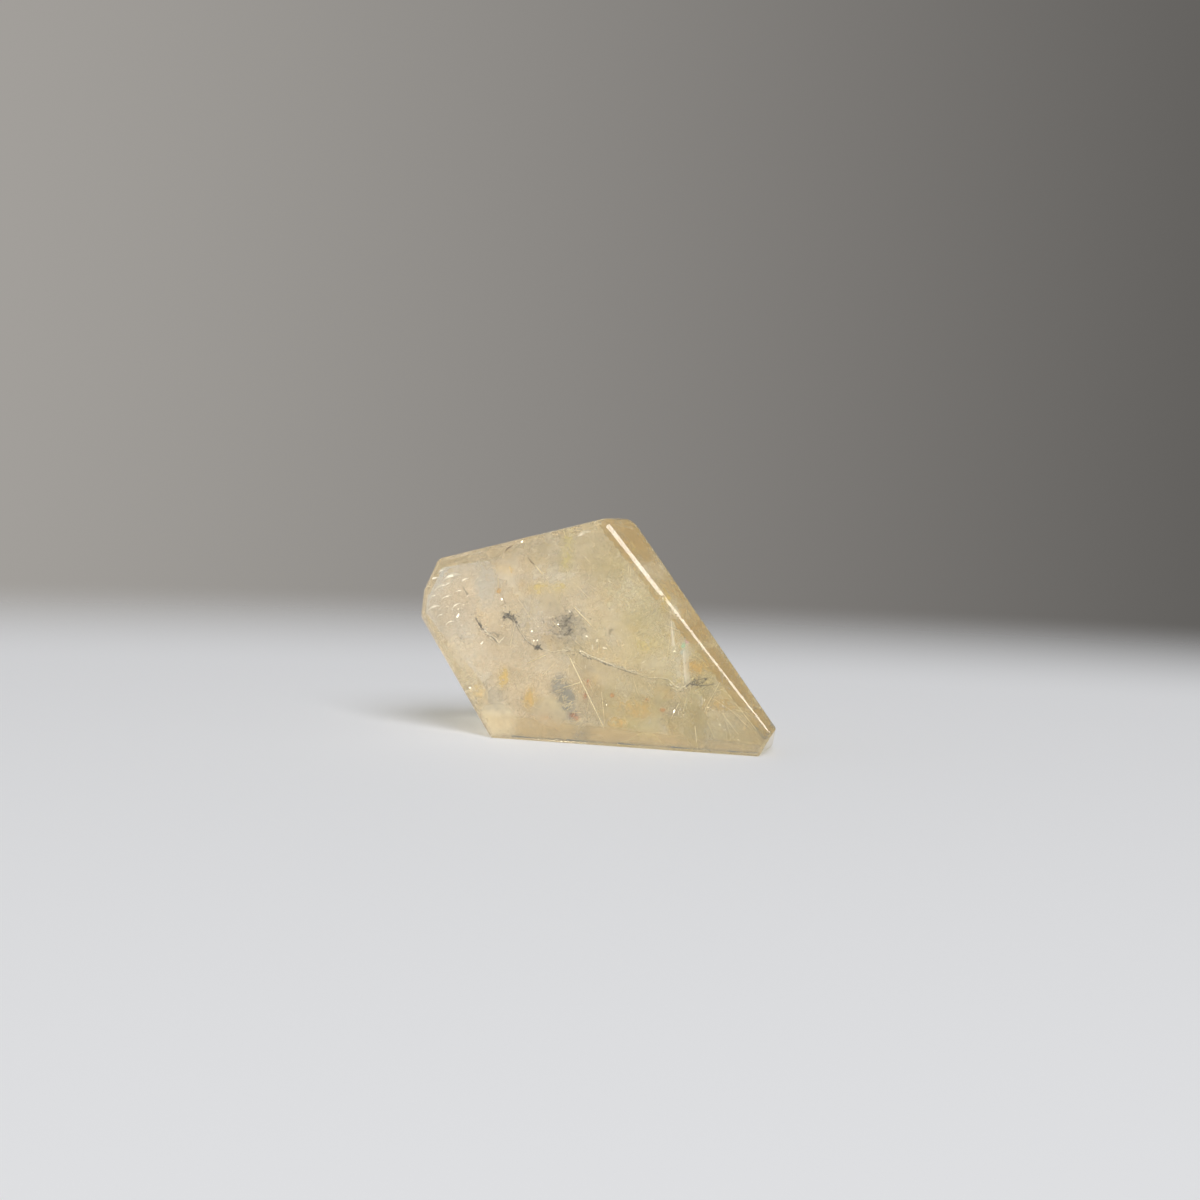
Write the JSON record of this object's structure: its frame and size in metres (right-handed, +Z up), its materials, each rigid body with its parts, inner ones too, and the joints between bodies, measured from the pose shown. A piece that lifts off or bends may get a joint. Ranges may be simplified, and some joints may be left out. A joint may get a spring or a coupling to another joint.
{
  "type": "rutilated quartz freeform",
  "caption": "Irregular faceted freeform of translucent golden quartz with rutile needles inside, polished all over, that stands on a flat base as a small display stone.",
  "frame": {"origin": "on the flat base, straight below the middle of the stone's facets", "axes": "+X along the stone's length towards its low blunt point, +Y from the broad polished front to the back, +Z up from the base"},
  "size_m": [0.034, 0.0137, 0.0205],
  "materials": {
    "quartz": "polished, clear to milky golden quartz",
    "inclusions": "fine rutile needles, healed fracture and grains sealed inside the stone"
  },
  "bodies": {
    "root": {"quartz_freeform": "quartz"}
  },
  "joints": []
}
